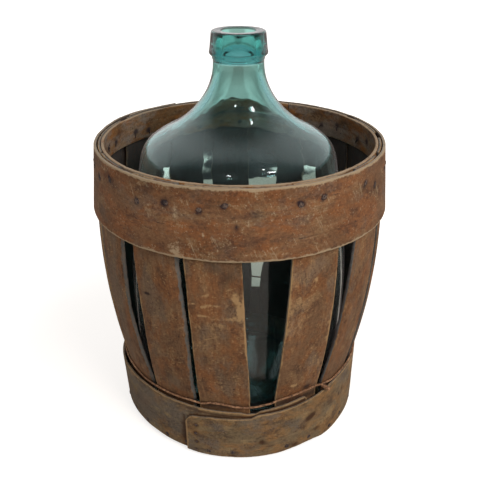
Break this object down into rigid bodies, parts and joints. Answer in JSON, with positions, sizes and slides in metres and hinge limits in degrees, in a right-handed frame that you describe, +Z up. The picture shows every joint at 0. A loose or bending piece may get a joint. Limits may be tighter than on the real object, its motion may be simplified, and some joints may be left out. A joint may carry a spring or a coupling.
{
  "type": "demijohn in a slatted wooden basket",
  "caption": "Large round-bodied glass bottle with a narrow collared mouth, standing in an open basket of bent wooden slats nailed between rim hoops and a lapped foot hoop.",
  "frame": {"origin": "on the floor under the middle of the basket", "axes": "+Z up along the bottle's axis, -Y towards the side with the wide gap between two slats and the lapped end of the foot hoop, +X to the right when looking from there"},
  "size_m": [0.3658, 0.3658, 0.493],
  "materials": {
    "aqua_glass": "gloss",
    "brown_wood": "worn, dry",
    "dark_wood": "worn, dry",
    "grey_wood": "weathered",
    "rusty_wire": "rusty",
    "rusty_iron": "rusty"
  },
  "bodies": {
    "basket": {"rim_outer_hoop": "brown_wood", "rim_inner_hoop": "dark_wood", "slat_01": "brown_wood", "slat_02": "brown_wood", "slat_03": "brown_wood", "slat_04": "brown_wood", "slat_05": "brown_wood", "slat_06": "brown_wood", "slat_07": "brown_wood", "slat_08": "brown_wood", "slat_09": "brown_wood", "slat_10": "brown_wood", "slat_11": "brown_wood", "slat_12": "brown_wood", "slat_13": "brown_wood", "slat_14": "brown_wood", "foot_hoop": "grey_wood", "foot_wire": "rusty_wire", "base_plank_left": "grey_wood", "base_plank_middle": "grey_wood", "base_plank_right": "grey_wood", "rim_nails": "rusty_iron", "foot_nails": "rusty_iron", "lap_nails": "rusty_iron"},
    "bottle": {"glass_bottle": "aqua_glass"}
  },
  "joints": [
    {"name": "bottle_lift", "type": "slide", "parent": "basket", "child": "bottle", "axis": [0, 0, 1], "range_m": [0, 0.37]}
  ]
}
